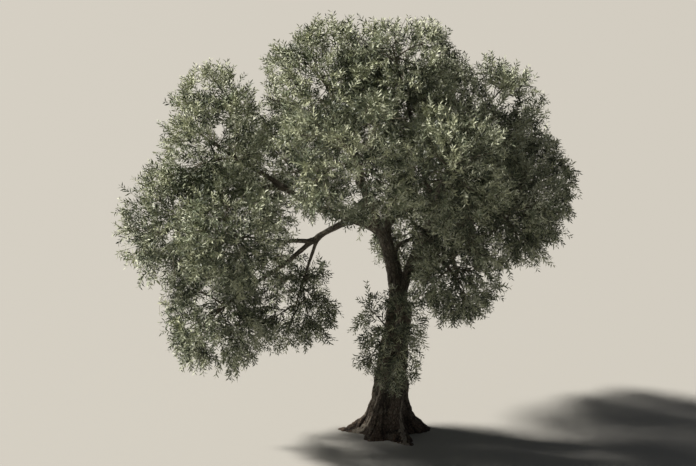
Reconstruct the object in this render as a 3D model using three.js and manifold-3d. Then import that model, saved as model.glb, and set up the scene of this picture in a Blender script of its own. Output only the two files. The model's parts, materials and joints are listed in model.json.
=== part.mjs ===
// An old olive tree, rooted in level ground: a ribbed trunk on a root flare, sinuous boughs and leafy masses.
// Millimetres, +Z up, +X to the right of the front view. The origin is in the flat cut under the trunk.
import * as THREE from "three";
import { mergeVertices } from "three/addons/utils/BufferGeometryUtils.js";
import Module from "manifold-3d";

const wasm = await Module();
wasm.setup();

const JOINT_GAP = 0.3; // pieces that meet leave this much clear between them
const MERGE_DISTANCE = 1e-4;
const FULL_TURN = 2 * Math.PI;

// Trunk: waist and fork radii, the flare of its foot, its lean and the ribs that wind up it.
const FORK_HEIGHT = 2250;
const CROTCH_HEIGHT = 2000; // above this the trunk rounds over between its limbs
const ROUND_OFF = 0.9; // how far it closes there
const LEAN = new THREE.Vector3(190, 40, 0);
const LEAN_BOW = 1.3; // over 1, the trunk starts upright and leans more as it rises
const WAIST_RADIUS = 290;
const FORK_RADIUS = 180;
const FLARE = 120;
const FLARE_FADE = 240;
const RIBS = 5;
const RIB_DEPTH = 26;
const RIB_TWIST = 1.4;
const TRUNK_SIDES = 24;
const TRUNK_STEPS = 11;
const LEVEL_CROWDING = 1.7; // the levels crowd towards the foot, where the shape changes fastest

// Surface roots that run out of the flare: compass heading from +X, reach, width of the lobe and fade height.
const ROOTS = [
  { heading: 178, reach: 430, width: 17, fade: 170 },
  { heading: 4, reach: 350, width: 22, fade: 230 },
  { heading: -58, reach: 330, width: 18, fade: 150 },
  { heading: -122, reach: 180, width: 22, fade: 210 },
  { heading: 62, reach: 240, width: 20, fade: 200 },
  { heading: 121, reach: 210, width: 22, fade: 240 },
];

// Limbs: section, taper and sway. A limb and its mass's stem are one curve, cut where it enters the mass.
const LIMB_SIDES = 6;
const LIMB_STEPS = 6;
const STUB_END = 0.2; // share of a main limb's curve that is one piece with the trunk
const STUB_STEPS = 2;
const STEM_TIP_RADIUS = 9;
const LIMB_TAPER = 0.85;
const SWAY = 0.035; // sideways swing as a share of the limb's length
const SWAY_TURNS = 1.6;
const SWAY_SEED = 20;
const STEM_SIDES = 4;
const STEM_STEPS = 4;
const STEM_REACH = 0.45; // how far past the middle of its mass a stem runs

// Masses: each keeps to an ellipsoid, trimmed by a plane half way to each neighbour.
const SPACE_MARGIN = 10;
const ENTRY_STEPS = 200;
const ENTRY_SHARE = 0.8; // a bough ends this far out from the middle of its mass
const SHORTEST_BOUGH = 0.35; // the least share of a limb's curve that is bough and not stem
const MASS_SEEDS = { first: 101, step: 17 };
const TWIGS = 6;
const TWIG_ROOTS = [0.3, 0.85]; // twigs leave between these shares of the stem
const TWIG_REACH = 0.6;
const TWIG_LIFT = 0.14;
const TWIG_STEPS = 2;
const TWIG_ROOT_RADIUS = 15;
const TWIG_TIP_RADIUS = 7;
const TWIG_SIDE = new THREE.Vector3(0.3, 0.2, 1); // a direction that no twig runs along
const GOLDEN_ANGLE = Math.PI * (3 - Math.sqrt(5));

// Leaves: each blade stands for a spray. Their tips are spread evenly over the outside of the mass.
const LEAVES_A_METRE = 22; // leaves for each metre of a mass's mean half-width
const LEAF_REACH = 0.97;
const LONGEST_LEAF = 800;
const LEAF_ASPECT = 0.4; // width to length
const LEAF_THICKNESS = 60;
const LEAF_SPREAD = 0.55; // the angle from its twig that a leaf likes best
const LEAF_SEATS = [0.45, 0.56, 0.67, 0.78, 0.89, 1]; // places along a twig where leaves may root
const LEAF_CUTS = [1, 0.86, 0.72, 0.58]; // a leaf that doesn't fit is tried again at these lengths
const LEAF_TILT = 0.7; // how far a blade may tilt from facing straight out of the crown
const CROWN_MIDDLE = new THREE.Vector3(-400, 100, 3700);
const LIMB_CLEARANCE = 25;
const PROBES = 8; // places along a twig or leaf at which its distance from the limbs is tested

// Each row is a mass of foliage and its bough, or a mass alone where it springs from the trunk.
// at is the share of the parent's curve where the limb leaves it, rise and lead place the point that bows it.
const GROWTH = [
  { name: "upper_left", from: "trunk", at: 0.92, centre: [-980, 400, 5650], size: [980, 1150, 1000],
    girth: 108, rise: 1950, lead: 0.3 },
  { name: "upper_right", from: "trunk", at: 0.9, centre: [1400, 350, 5100], size: [1100, 1150, 950],
    girth: 96, rise: 1850, lead: 0.33 },
  { name: "upper_back", from: "trunk", at: 0.86, centre: [100, 1750, 4850], size: [1150, 1000, 950],
    girth: 88, rise: 1450, lead: 0.42 },
  { name: "crown_top", from: "upper_right", at: 0.46, centre: [150, 100, 5900], size: [1000, 1050, 850],
    girth: 62, rise: 1200, lead: 0.5 },
  { name: "left_dome", from: "upper_left", at: 0.34, centre: [-2700, 100, 4750], size: [800, 1050, 1250],
    girth: 84, rise: 350, lead: 0.5 },
  { name: "left_outer", from: "left_dome", at: 0.55, centre: [-3350, 0, 3500], size: [900, 1050, 1050],
    girth: 46, rise: 150, lead: 0.6 },
  { name: "left_skirt", from: "left_dome", at: 0.16, centre: [-2700, -300, 2100], size: [950, 950, 900],
    girth: 58, rise: -450, lead: 0.45 },
  { name: "left_side", from: "left_skirt", at: 0.3, centre: [-2350, -1000, 3600], size: [920, 900, 850],
    girth: 40, rise: 150, lead: 0.5 },
  { name: "left_hanging", from: "left_skirt", at: 0.25, centre: [-1450, 150, 2150], size: [700, 750, 850],
    girth: 36, rise: -250, lead: 0.35 },
  { name: "front", from: "upper_left", at: 0.46, centre: [-550, -1150, 4850], size: [1150, 1000, 1100],
    girth: 56, rise: 500, lead: 0.5 },
  { name: "front_right", from: "upper_right", at: 0.36, centre: [850, -1350, 4700], size: [1000, 950, 950],
    girth: 56, rise: 600, lead: 0.45 },
  { name: "right_front", from: "upper_right", at: 0.3, centre: [1700, -850, 3950], size: [950, 900, 900],
    girth: 60, rise: 600, lead: 0.5 },
  { name: "right_outer", from: "upper_right", at: 0.4, centre: [2150, 550, 3900], size: [850, 1050, 1000],
    girth: 52, rise: 350, lead: 0.5 },
  { name: "right_hanging", from: "upper_right", at: 0.24, centre: [1000, -250, 2800], size: [750, 800, 850],
    girth: 48, rise: 250, lead: 0.6 },
  { name: "back_left", from: "upper_back", at: 0.36, centre: [-1600, 1500, 4100], size: [1100, 1050, 1000],
    girth: 56, rise: 500, lead: 0.45 },
  { name: "back_right", from: "upper_back", at: 0.44, centre: [1500, 1650, 4000], size: [1050, 950, 1000],
    girth: 54, rise: 350, lead: 0.45 },
  { name: "back_hanging", from: "upper_back", at: 0.29, centre: [550, 1800, 2850], size: [850, 850, 800],
    girth: 44, rise: 150, lead: 0.6 },
  { name: "trunk_shoots", from: "trunk", at: 0.82, centre: [40, -600, 1850], size: [540, 400, 900],
    girth: 24, rise: 120, lead: 0.5 },
];

const vector = (triple) => new THREE.Vector3(...triple);

// The same seed always gives the same row of numbers between 0 and 1.
function seeded(seed) {
  let state = seed;
  return () => {
    state = (state * 16807) % 2147483647;
    return state / 2147483647;
  };
}

// A closed unit cylinder along Y whose vertices are shared, ready to be bent into a limb.
function rod(sides, steps) {
  const geometry = new THREE.CylinderGeometry(1, 1, 1, sides, steps);
  geometry.deleteAttribute("normal");
  geometry.deleteAttribute("uv");
  return mergeVertices(geometry, MERGE_DISTANCE);
}

// Moves each vertex of a rod to place(x, z, share), where share runs from 0 at its foot to 1 at its top.
function bend(geometry, place) {
  const position = geometry.attributes.position;
  for (let i = 0; i < position.count; i += 1) {
    const point = place(position.getX(i), position.getZ(i), position.getY(i) + 0.5);
    position.setXYZ(i, point.x, point.y, point.z);
  }
  return geometry;
}

function solidOf(geometry) {
  return new wasm.Manifold(
    new wasm.Mesh({
      numProp: 3,
      vertProperties: geometry.attributes.position.array,
      triVerts: new Uint32Array(geometry.index.array),
    }),
  );
}

// The largest body of a solid: loose scraps and the skins of sealed hollows are dropped.
function wholePiece(solid) {
  const bodies = solid.decompose();
  return bodies.reduce((largest, body) => (body.volume() > largest.volume() ? body : largest));
}

function meshOf(name, solid, material) {
  const { vertProperties, triVerts } = wholePiece(solid).getMesh();
  const geometry = new THREE.BufferGeometry();
  geometry.setAttribute("position", new THREE.BufferAttribute(vertProperties, 3));
  geometry.setIndex(new THREE.BufferAttribute(triVerts, 1));
  geometry.computeVertexNormals();
  const mesh = new THREE.Mesh(geometry, material);
  mesh.name = name;
  return mesh;
}

const trunkCentre = (height) => {
  const share = height / FORK_HEIGHT;
  return new THREE.Vector3(LEAN.x * share ** LEAN_BOW, LEAN.y * share, height);
};

function trunkRadius(heading, height) {
  const core = THREE.MathUtils.lerp(WAIST_RADIUS, FORK_RADIUS, height / FORK_HEIGHT);
  const twist = (RIB_TWIST * height) / FORK_HEIGHT;
  const rib = RIB_DEPTH * Math.cos(RIBS * (heading - twist));
  const flare = FLARE * Math.exp(-height / FLARE_FADE);
  const lobes = ROOTS.map((root) => {
    const apart = heading - THREE.MathUtils.degToRad(root.heading);
    const off = Math.atan2(Math.sin(apart), Math.cos(apart)) / THREE.MathUtils.degToRad(root.width);
    return root.reach * Math.exp(-off * off) * Math.exp(-height / root.fade);
  });
  const over = Math.max(0, (height - CROTCH_HEIGHT) / (FORK_HEIGHT - CROTCH_HEIGHT));
  const roundOff = Math.sqrt(1 - ROUND_OFF * over * over);
  return lobes.reduce((sum, lobe) => sum + lobe, core + rib + flare) * roundOff;
}

// The trunk's own body without its limbs, swollen by grow so that a piece can be cut clear of it.
function trunkBody(grow) {
  const place = (x, z, share) => {
    const height = FORK_HEIGHT * share ** LEVEL_CROWDING;
    const radius = trunkRadius(Math.atan2(-z, x), height) + grow;
    return trunkCentre(height).add(new THREE.Vector3(x * radius, -z * radius, 0));
  };
  return solidOf(bend(rod(TRUNK_SIDES, TRUNK_STEPS), place));
}

// A limb runs from its root past a bowed point to the far end of its mass's stem, swaying a little.
class Limb extends THREE.Curve {
  constructor(row, parent, random) {
    super();
    const centre = vector(row.centre);
    const root = parent ? parent.getPoint(row.at) : trunkCentre(FORK_HEIGHT * row.at);
    const bow = root.clone().lerp(centre, row.lead);
    bow.z = root.z + row.rise;
    const onward = centre.clone().sub(bow).normalize();
    const end = centre.clone().addScaledVector(onward, STEM_REACH * Math.min(...row.size));
    this.spine = new THREE.QuadraticBezierCurve3(root, bow, end);
    this.across = onward.clone().cross(bow.clone().sub(root)).normalize();
    this.sway = SWAY * root.distanceTo(end);
    this.phase = random() * FULL_TURN;
    this.girth = row.girth;
  }

  getPoint(share, target = new THREE.Vector3()) {
    const swing = Math.sin(SWAY_TURNS * FULL_TURN * share + this.phase) * Math.sin(Math.PI * share);
    return target.copy(this.spine.getPoint(share)).addScaledVector(this.across, this.sway * swing);
  }

  radius(share) {
    return STEM_TIP_RADIUS + (this.girth - STEM_TIP_RADIUS) * (1 - share) ** LIMB_TAPER;
  }
}

// A tapering tube along part of a curve. side is a direction that the curve never runs along.
function tube(curve, from, to, sides, steps, radius, side) {
  const place = (x, z, share) => {
    const along = from + (to - from) * share;
    const tangent = curve.getTangent(along);
    const right = side.clone().projectOnPlane(tangent).normalize();
    const up = right.clone().cross(tangent);
    const point = curve.getPoint(along);
    return point.addScaledVector(right, x * radius(along)).addScaledVector(up, z * radius(along));
  };
  return solidOf(bend(rod(sides, steps), place));
}

function limbPart(limb, from, to, steps, grow = 0) {
  const swell = grow / Math.cos(Math.PI / LIMB_SIDES);
  return tube(limb, from, to, LIMB_SIDES, steps, (share) => limb.radius(share) + swell, limb.across);
}

// The space of a mass: its ellipsoid, up to the plane between it and each neighbour.
class Space {
  constructor(row) {
    this.centre = vector(row.centre);
    this.size = vector(row.size);
    this.breadth = (this.size.x + this.size.y + this.size.z) / 3;
    this.planes = [];
  }

  trimBy(other) {
    const normal = other.centre.clone().sub(this.centre);
    const reach = (normal.length() * this.breadth) / (this.breadth + other.breadth);
    normal.normalize();
    const edge = this.centre.clone().addScaledVector(normal, reach - SPACE_MARGIN);
    this.planes.push(new THREE.Plane().setFromNormalAndCoplanarPoint(normal, edge));
  }

  holds(point, share = 1) {
    const inside = point.clone().sub(this.centre).divide(this.size).length() <= share;
    return inside && this.planes.every((plane) => plane.distanceToPoint(point) <= 0);
  }
}

// The share of a limb's curve after which it stays inside its mass.
function entryOf(limb, space) {
  let step = ENTRY_STEPS;
  while (step > 0 && space.holds(limb.getPoint((step - 1) / ENTRY_STEPS), ENTRY_SHARE)) step -= 1;
  return Math.max(step / ENTRY_STEPS, SHORTEST_BOUGH);
}

// Straight stretches of a limb outside its mass, with the radius of each.
function stretchesOf(limb) {
  return Array.from({ length: LIMB_STEPS }, (_, i) => {
    const start = (limb.entry * i) / LIMB_STEPS;
    const end = (limb.entry * (i + 1)) / LIMB_STEPS;
    return { line: new THREE.Line3(limb.getPoint(start), limb.getPoint(end)), radius: limb.radius(start) };
  });
}

const trunkStretches = Array.from({ length: TRUNK_STEPS }, (_, i) => {
  const start = (FORK_HEIGHT * i) / TRUNK_STEPS;
  const end = (FORK_HEIGHT * (i + 1)) / TRUNK_STEPS;
  return { line: new THREE.Line3(trunkCentre(start), trunkCentre(end)), radius: trunkRadius(0, start) };
});

const random = seeded(SWAY_SEED);
const limbs = new Map();
const spaces = new Map(GROWTH.map((row) => [row.name, new Space(row)]));
for (const space of spaces.values()) {
  for (const other of spaces.values()) {
    if (other !== space) space.trimBy(other);
  }
}
for (const row of GROWTH) {
  const limb = new Limb(row, limbs.get(row.from), random);
  limb.entry = entryOf(limb, spaces.get(row.name));
  limbs.set(row.name, limb);
}
const growsOnTrunk = (row) => row.name === "trunk_shoots";
const boughRows = GROWTH.filter((row) => !growsOnTrunk(row));
const stretches = [...trunkStretches, ...boughRows.flatMap((row) => stretchesOf(limbs.get(row.name)))];

// Whether a piece comes too near a limb: point gives its middle and width half its width, by share.
function touchesLimb(point, width) {
  const probes = Array.from({ length: PROBES }, (_, i) => (i + 1) / PROBES);
  const nearest = new THREE.Vector3();
  return probes.some((share) => {
    const middle = point(share);
    return stretches.some(({ line, radius }) => {
      line.closestPointToPoint(middle, true, nearest);
      return nearest.distanceTo(middle) < radius + width(share) + LIMB_CLEARANCE;
    });
  });
}

// Directions spread evenly all round, starting from a turn about the upright axis.
function evenAims(count, turn) {
  return Array.from({ length: count }, (_, i) => {
    const height = 1 - (2 * (i + 0.5)) / count;
    const ring = Math.sqrt(1 - height * height);
    const angle = turn + i * GOLDEN_ANGLE;
    return new THREE.Vector3(ring * Math.cos(angle), ring * Math.sin(angle), height);
  });
}

const aimedAt = (space, aim, reach) =>
  aim.clone().multiply(space.size).multiplyScalar(reach).add(space.centre);

// Twigs leave the stem one above the other and bow upwards towards evenly spread aims.
function twigsOf(limb, space, dice) {
  const curves = evenAims(TWIGS, dice() * FULL_TURN).map((aim) => {
    const tip = aimedAt(space, aim, TWIG_REACH);
    const along = THREE.MathUtils.lerp(...TWIG_ROOTS, dice());
    const root = limb.getPoint(THREE.MathUtils.lerp(limb.entry, 1, along));
    const bow = root.clone().lerp(tip, 0.5);
    bow.z += TWIG_LIFT * root.distanceTo(tip);
    return new THREE.QuadraticBezierCurve3(root, bow, tip);
  });
  return curves.filter((curve) => {
    const isInside = curve.getPoints(PROBES).every((point) => space.holds(point));
    return isInside && !touchesLimb((share) => curve.getPoint(share), () => TWIG_ROOT_RADIUS);
  });
}

// A blade from its root to its tip, eight-faced, thickest at the middle. The root is sunk in the twig.
function leafSolid(root, direction, face, length) {
  const geometry = new THREE.OctahedronGeometry(1, 0);
  geometry.deleteAttribute("normal");
  geometry.deleteAttribute("uv");
  const blade = mergeVertices(geometry, MERGE_DISTANCE);
  const wide = direction.clone().cross(face).normalize();
  const normal = wide.clone().cross(direction).normalize();
  const middle = root.clone().addScaledVector(direction, length / 2 - TWIG_TIP_RADIUS);
  const frame = new THREE.Matrix4().makeBasis(
    wide.multiplyScalar((LEAF_ASPECT * length) / 2),
    direction.clone().multiplyScalar(length / 2),
    normal.multiplyScalar(LEAF_THICKNESS / 2),
  );
  return solidOf(blade.applyMatrix4(frame.setPosition(middle)));
}

// The leaf that reaches from a twig towards a tip, or nothing where no length of it fits.
function leafTo(tip, root, space, dice) {
  const direction = tip.clone().sub(root);
  const whole = Math.min(direction.length(), LONGEST_LEAF);
  direction.normalize();
  const tilt = new THREE.Vector3(dice() - 0.5, dice() - 0.5, dice() - 0.5);
  const face = root.clone().sub(CROWN_MIDDLE).normalize().addScaledVector(tilt, LEAF_TILT);
  const wide = direction.clone().cross(face).normalize();
  for (const cut of LEAF_CUTS) {
    const length = whole * cut;
    const midrib = (part) => root.clone().addScaledVector(direction, length * part);
    const halfWidth = (part) => LEAF_ASPECT * length * (0.5 - Math.abs(part - 0.5));
    const edges = [-1, 1].map((way) => midrib(0.5).addScaledVector(wide, way * halfWidth(0.5)));
    const isInside = [midrib(1), ...edges].every((point) => space.holds(point));
    if (isInside && !touchesLimb(midrib, halfWidth)) return leafSolid(root, direction, face, length);
  }
  return null;
}

// Each leaf tip is grown from the free seat on a twig that points most nearly at it. A seat holds one leaf.
function leavesOf(curves, space, dice) {
  const seatOf = (curve, share) => ({ root: curve.getPoint(share), tangent: curve.getTangent(share) });
  const seats = curves.flatMap((curve) => LEAF_SEATS.map((share) => seatOf(curve, share)));
  const taken = new Set();
  const count = Math.round((LEAVES_A_METRE * space.breadth) / 1000);
  const leaves = evenAims(count, dice() * FULL_TURN).map((aim) => {
    const tip = aimedAt(space, aim, LEAF_REACH);
    const costOf = (seat) => {
      const way = tip.clone().sub(seat.root);
      return Math.abs(way.angleTo(seat.tangent) - LEAF_SPREAD) + way.length() / LONGEST_LEAF;
    };
    const free = seats.filter((seat) => !taken.has(seat));
    const best = free.reduce((least, seat) => (costOf(seat) < costOf(least) ? seat : least));
    taken.add(best);
    return leafTo(tip, best.root, space, dice);
  });
  return leaves.filter((leaf) => leaf);
}

// The part of a limb inside its mass, as a curve of its own.
class Stem extends THREE.Curve {
  constructor(limb) {
    super();
    this.limb = limb;
  }

  getPoint(share, target) {
    return this.limb.getPoint(THREE.MathUtils.lerp(this.limb.entry, 1, share), target);
  }
}

// The stem of a mass with its twigs and leaves fused on, each mass from its own seed.
function massSolid(row, seed) {
  const limb = limbs.get(row.name);
  const space = spaces.get(row.name);
  const dice = seeded(seed);
  const start = growsOnTrunk(row) ? 0 : limb.entry + JOINT_GAP / limb.getLength();
  const steps = growsOnTrunk(row) ? 2 * STEM_STEPS : STEM_STEPS;
  const stem = tube(limb, start, 1, STEM_SIDES, steps, (share) => limb.radius(share), limb.across);
  const twigs = twigsOf(limb, space, dice);
  const radius = (share) => THREE.MathUtils.lerp(TWIG_ROOT_RADIUS, TWIG_TIP_RADIUS, share);
  const twigSolids = twigs.map((curve) => tube(curve, 0, 1, 3, TWIG_STEPS, radius, TWIG_SIDE));
  const leaves = leavesOf([new Stem(limb), ...twigs], space, dice);
  return [...twigSolids, ...leaves].reduce((whole, piece) => whole.add(piece), stem);
}

const bark = new THREE.MeshStandardMaterial({ color: 0x4a4038, roughness: 0.95, metalness: 0 });
const foliage = new THREE.MeshStandardMaterial({ color: 0x8b917a, roughness: 0.75, metalness: 0 });

const tree = new THREE.Group();

// The trunk is one piece with the stubs of its main limbs.
const mainRows = boughRows.filter((row) => row.from === "trunk");
const stubs = mainRows.map((row) => limbPart(limbs.get(row.name), 0, STUB_END, STUB_STEPS));
tree.add(meshOf("trunk", stubs.reduce((whole, stub) => whole.add(stub), trunkBody(0)), bark));

// The part of a limb that is a bough of its own: a main bough begins where the trunk's stub ends.
function boughSolid(limb, isMain, grow = 0) {
  const start = isMain ? STUB_END + JOINT_GAP / limb.getLength() : 0;
  return limbPart(limb, start, limb.entry, LIMB_STEPS, grow);
}

for (const row of boughRows) {
  const bough = boughSolid(limbs.get(row.name), mainRows.includes(row));
  const parentRow = boughRows.find((other) => other.name === row.from);
  const isClear = parentRow === undefined;
  const parent = isClear ? null : boughSolid(limbs.get(row.from), mainRows.includes(parentRow), JOINT_GAP);
  tree.add(meshOf("bough_" + row.name, isClear ? bough : bough.subtract(parent), bark));
}

GROWTH.forEach((row, index) => {
  const mass = massSolid(row, MASS_SEEDS.first + MASS_SEEDS.step * index);
  const clear = growsOnTrunk(row) ? mass.subtract(trunkBody(JOINT_GAP)) : mass;
  tree.add(meshOf("foliage_" + row.name, clear, foliage));
});

export default tree;
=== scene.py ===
# %% [markdown]
# An old olive tree, rooted in level ground. Its wood is one gnarled mesh from the root flare to the ends of
# the boughs, and its crown is nearly two hundred thousand narrow leaves in pairs along fine shoots. A tree
# this size can't be modelled leaf by leaf, and pictures of leaves on cards would look flat from the side.
# So it is grown: a few named sizes place the limbs, and one seeded rule branches each limb into twigs,
# finer twigs and shoots.

import collections
import functools
import itertools
import json
import math

import bmesh
import bpy
import numpy as np
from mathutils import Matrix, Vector, kdtree, noise

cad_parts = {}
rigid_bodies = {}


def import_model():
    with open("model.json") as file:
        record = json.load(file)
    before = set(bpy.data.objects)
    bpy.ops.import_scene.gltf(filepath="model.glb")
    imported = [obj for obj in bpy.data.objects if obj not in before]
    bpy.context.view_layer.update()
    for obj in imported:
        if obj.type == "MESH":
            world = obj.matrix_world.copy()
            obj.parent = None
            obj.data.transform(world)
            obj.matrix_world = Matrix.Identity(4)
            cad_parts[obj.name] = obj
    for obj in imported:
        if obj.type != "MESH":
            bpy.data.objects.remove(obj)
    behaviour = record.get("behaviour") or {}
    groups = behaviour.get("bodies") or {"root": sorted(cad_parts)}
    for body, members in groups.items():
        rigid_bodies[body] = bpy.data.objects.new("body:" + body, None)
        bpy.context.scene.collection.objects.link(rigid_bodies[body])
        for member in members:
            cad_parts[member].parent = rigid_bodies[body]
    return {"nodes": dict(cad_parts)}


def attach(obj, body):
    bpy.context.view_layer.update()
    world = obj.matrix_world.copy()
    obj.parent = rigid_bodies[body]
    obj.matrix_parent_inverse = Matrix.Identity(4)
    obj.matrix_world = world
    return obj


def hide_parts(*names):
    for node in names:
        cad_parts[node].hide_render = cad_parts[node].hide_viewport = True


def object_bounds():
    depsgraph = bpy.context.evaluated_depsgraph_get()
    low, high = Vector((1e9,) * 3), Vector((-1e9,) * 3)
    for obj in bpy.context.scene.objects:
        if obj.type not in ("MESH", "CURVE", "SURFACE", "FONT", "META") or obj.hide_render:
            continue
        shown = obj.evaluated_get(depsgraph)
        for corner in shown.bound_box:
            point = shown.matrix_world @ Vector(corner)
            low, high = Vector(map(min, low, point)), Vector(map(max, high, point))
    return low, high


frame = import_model()
cad_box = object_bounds()
print("frame:", len(frame["nodes"]), "nodes,", [round(side, 2) for side in cad_box[1] - cad_box[0]], "m")

# %% [markdown]
# The sizes are those of the solid model, in metres, so that wood and leaves lie where its solids are. The
# trunk is a leaning column with a flare, surface roots and ribs that wind up it. Every other limb is one
# curve that leaves its parent, bows and ends inside a rounded mass of foliage, so one row for each mass
# says all that the crown's shape needs.

# %% Sizes of the trunk and the limbs
FORK_HEIGHT = 2.25
CROTCH_HEIGHT = 2.0
ROUND_OFF = 0.9
LEAN = np.array([0.19, 0.04])
LEAN_BOW = 1.3
WAIST_RADIUS = 0.29
FORK_RADIUS = 0.18
FLARE = 0.12
FLARE_FADE = 0.24
RIBS = 5
RIB_DEPTH = 0.026
RIB_TWIST = 1.4
# Surface roots: compass heading in degrees from +X, reach, width of the lobe in degrees, and fade height.
ROOTS = [
    (178, 0.43, 17, 0.17), (4, 0.35, 22, 0.23), (-58, 0.33, 18, 0.15),
    (-122, 0.18, 22, 0.21), (62, 0.24, 20, 0.2), (121, 0.21, 22, 0.24),
]

SWAY = 0.035
SWAY_TURNS = 1.6
SWAY_SEED = 20
STEM_REACH = 0.45
STEM_TIP_RADIUS = 0.009
LIMB_TAPER = 0.85
ENTRY_STEPS = 200
ENTRY_SHARE = 0.8
SHORTEST_BOUGH = 0.35
FULL_TURN = 2 * math.pi

# Each mass: the limb it grows from and where, its middle and half-sizes, and its own limb's girth and bow.
Row = collections.namedtuple("Row", "name parent at centre size girth rise lead")
GROWTH = [
    Row("upper_left", "trunk", 0.92, (-0.98, 0.4, 5.65), (0.98, 1.15, 1.0), 0.108, 1.95, 0.3),
    Row("upper_right", "trunk", 0.9, (1.4, 0.35, 5.1), (1.1, 1.15, 0.95), 0.096, 1.85, 0.33),
    Row("upper_back", "trunk", 0.86, (0.1, 1.75, 4.85), (1.15, 1.0, 0.95), 0.088, 1.45, 0.42),
    Row("crown_top", "upper_right", 0.46, (0.15, 0.1, 5.9), (1.0, 1.05, 0.85), 0.062, 1.2, 0.5),
    Row("left_dome", "upper_left", 0.34, (-2.7, 0.1, 4.75), (0.8, 1.05, 1.25), 0.084, 0.35, 0.5),
    Row("left_outer", "left_dome", 0.55, (-3.35, 0.0, 3.5), (0.9, 1.05, 1.05), 0.046, 0.15, 0.6),
    Row("left_skirt", "left_dome", 0.16, (-2.7, -0.3, 2.1), (0.95, 0.95, 0.9), 0.058, -0.45, 0.45),
    Row("left_side", "left_skirt", 0.3, (-2.35, -1.0, 3.6), (0.92, 0.9, 0.85), 0.04, 0.15, 0.5),
    Row("left_hanging", "left_skirt", 0.25, (-1.45, 0.15, 2.15), (0.7, 0.75, 0.85), 0.036, -0.25, 0.35),
    Row("front", "upper_left", 0.46, (-0.55, -1.15, 4.85), (1.15, 1.0, 1.1), 0.056, 0.5, 0.5),
    Row("front_right", "upper_right", 0.36, (0.85, -1.35, 4.7), (1.0, 0.95, 0.95), 0.056, 0.6, 0.45),
    Row("right_front", "upper_right", 0.3, (1.7, -0.85, 3.95), (0.95, 0.9, 0.9), 0.06, 0.6, 0.5),
    Row("right_outer", "upper_right", 0.4, (2.15, 0.55, 3.9), (0.85, 1.05, 1.0), 0.052, 0.35, 0.5),
    Row("right_hanging", "upper_right", 0.24, (1.0, -0.25, 2.8), (0.75, 0.8, 0.85), 0.048, 0.25, 0.6),
    Row("back_left", "upper_back", 0.36, (-1.6, 1.5, 4.1), (1.1, 1.05, 1.0), 0.056, 0.5, 0.45),
    Row("back_right", "upper_back", 0.44, (1.5, 1.65, 4.0), (1.05, 0.95, 1.0), 0.054, 0.35, 0.45),
    Row("back_hanging", "upper_back", 0.29, (0.55, 1.8, 2.85), (0.85, 0.85, 0.8), 0.044, 0.15, 0.6),
    Row("trunk_shoots", "trunk", 0.82, (0.04, -0.6, 1.85), (0.54, 0.4, 0.9), 0.024, 0.12, 0.5),
]
print(len(GROWTH), "masses of foliage")


# %% [markdown]
# A limb is a curve with a radius, not yet a shape: everything that grows asks it for points. The curve is a
# quadratic one, which three points settle, with a slight sideways swing because olive wood is never
# straight.

# %% Curves of the limbs
NUDGE = 0.001  # a share of a limb to take its direction over
MULTIPLIER = 16807
MODULUS = 2147483647


def unit(vectors):
    """The same directions, one unit long."""
    return vectors / np.linalg.norm(vectors, axis=-1, keepdims=True)


def blend(low, high, share):
    return low + (high - low) * share


def bowed(root, bow, tip, shares):
    """Points on the curve that leaves root towards bow and ends at tip, at shares of the way."""
    along = np.asarray(shares, float)[..., None]
    return root * (1 - along) ** 2 + bow * 2 * along * (1 - along) + tip * along**2


def seeded(seed):
    """The same seed always gives the same row of numbers between 0 and 1."""
    state = seed
    while True:
        state = state * MULTIPLIER % MODULUS
        yield state / MODULUS


def trunk_centre(height):
    share = np.maximum(height, 0) / FORK_HEIGHT
    return np.stack([LEAN[0] * share**LEAN_BOW, LEAN[1] * share, np.asarray(height, float)], axis=-1)


class Limb:
    """One bowed, swaying limb, from its root on the parent to the far end of its mass's stem."""

    def __init__(self, row, parent, phase):
        centre = np.array(row.centre)
        self.root = parent.line(row.at) if parent else trunk_centre(FORK_HEIGHT * row.at)
        self.bow = blend(self.root, centre, row.lead)
        self.bow[2] = self.root[2] + row.rise
        onward = unit(centre - self.bow)
        self.tip = centre + onward * STEM_REACH * min(row.size)
        self.across = unit(np.cross(onward, self.bow - self.root))
        self.sway = SWAY * np.linalg.norm(self.tip - self.root)
        self.phase = phase
        self.taper = row.girth - STEM_TIP_RADIUS
        self.parent_radius = parent.radius(row.at) if parent else FORK_RADIUS

    def line(self, shares):
        shares = np.asarray(shares, float)
        swing = np.sin(SWAY_TURNS * FULL_TURN * shares + self.phase) * np.sin(math.pi * shares)
        return bowed(self.root, self.bow, self.tip, shares) + (self.sway * swing)[..., None] * self.across

    def radius(self, shares):
        return STEM_TIP_RADIUS + self.taper * (1 - np.asarray(shares, float)) ** LIMB_TAPER

    def share_at(self, radius):
        """The share of the limb at which it has tapered to a radius."""
        return 1 - ((radius - STEM_TIP_RADIUS) / self.taper) ** (1 / LIMB_TAPER)


random = seeded(SWAY_SEED)
limbs = {}
for row in GROWTH:
    limbs[row.name] = Limb(row, limbs.get(row.parent), next(random) * FULL_TURN)
ruler = np.linspace(0, 1, 50)
lengths = [np.linalg.norm(np.diff(limb.line(ruler), axis=0), axis=1).sum() for limb in limbs.values()]
print("limbs:", round(min(lengths), 2), "to", round(max(lengths), 2), "m long")

# %% [markdown]
# Every mass keeps to a space of its own: a rounded lump, cut flat half way to each neighbour. That holds
# the crown to its outline and leaves the gaps open where the sky and the ground show through.

# %% Spaces of the masses
SPACE_MARGIN = 0.01
LIMB_CLEARANCE = 0.025
LIMB_STEPS = 6
TRUNK_STEPS = 11


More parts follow.
